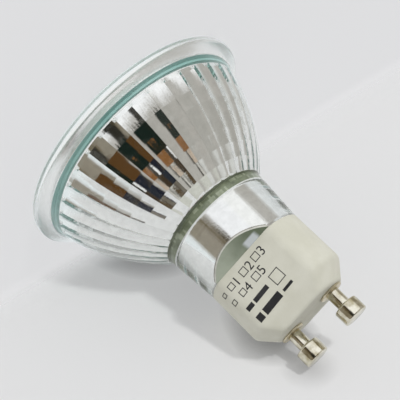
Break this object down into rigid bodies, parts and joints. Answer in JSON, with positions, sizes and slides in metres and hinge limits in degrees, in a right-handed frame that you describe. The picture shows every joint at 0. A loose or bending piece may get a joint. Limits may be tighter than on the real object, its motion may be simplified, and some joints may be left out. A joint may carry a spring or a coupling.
{
  "type": "spotlight bulb",
  "caption": "Reflector spotlight bulb with a fluted mirrored glass bowl, flat cover glass, ceramic base with flats and a two-pin twist-lock cap.",
  "frame": {"origin": "centre of the front rim, on the plane of its flat front edge", "axes": "+Z along the lamp axis from the front rim towards the pins, X along the line of the pins, Y square to the flats of the base"},
  "size_m": [0.05, 0.05, 0.0535],
  "materials": {
    "mirrored_glass": "pressed glass, aluminium mirror coating behind it",
    "clear_glass": "clear flat glass with a green edge",
    "cream_ceramic": "unglazed cream ceramic",
    "cement": "lamp cement",
    "plated_brass": "pale plated brass, satin",
    "aluminium": "drawn aluminium",
    "white_aluminium": "white solder mask",
    "phosphor": "yellow phosphor resin",
    "board_laminate": "green laminate",
    "black_moulding": "moulded package",
    "capacitor_sleeve": "shrink sleeve",
    "ferrite": "ferrite drum",
    "resistor_enamel": "enamel",
    "copper_wire": "bare copper"
  },
  "bodies": {
    "root": {"reflector_bowl": "mirrored_glass", "front_glass": "clear_glass", "base_cap": "cream_ceramic", "base_cement": "cement", "contact_pin_1": "plated_brass", "contact_pin_2": "plated_brass", "pin_eyelet_1": "plated_brass", "pin_eyelet_2": "plated_brass", "heat_spreader": "aluminium", "led_board": "white_aluminium", "cob_led": "phosphor", "driver_board": "board_laminate", "bridge_rectifier": "black_moulding", "driver_chip": "black_moulding", "smoothing_capacitor": "capacitor_sleeve", "output_capacitor": "capacitor_sleeve", "buck_choke": "ferrite", "fuse_resistor": "resistor_enamel", "pin_lead_1": "copper_wire", "pin_lead_2": "copper_wire", "led_lead_1": "copper_wire", "led_lead_2": "copper_wire"}
  },
  "joints": []
}
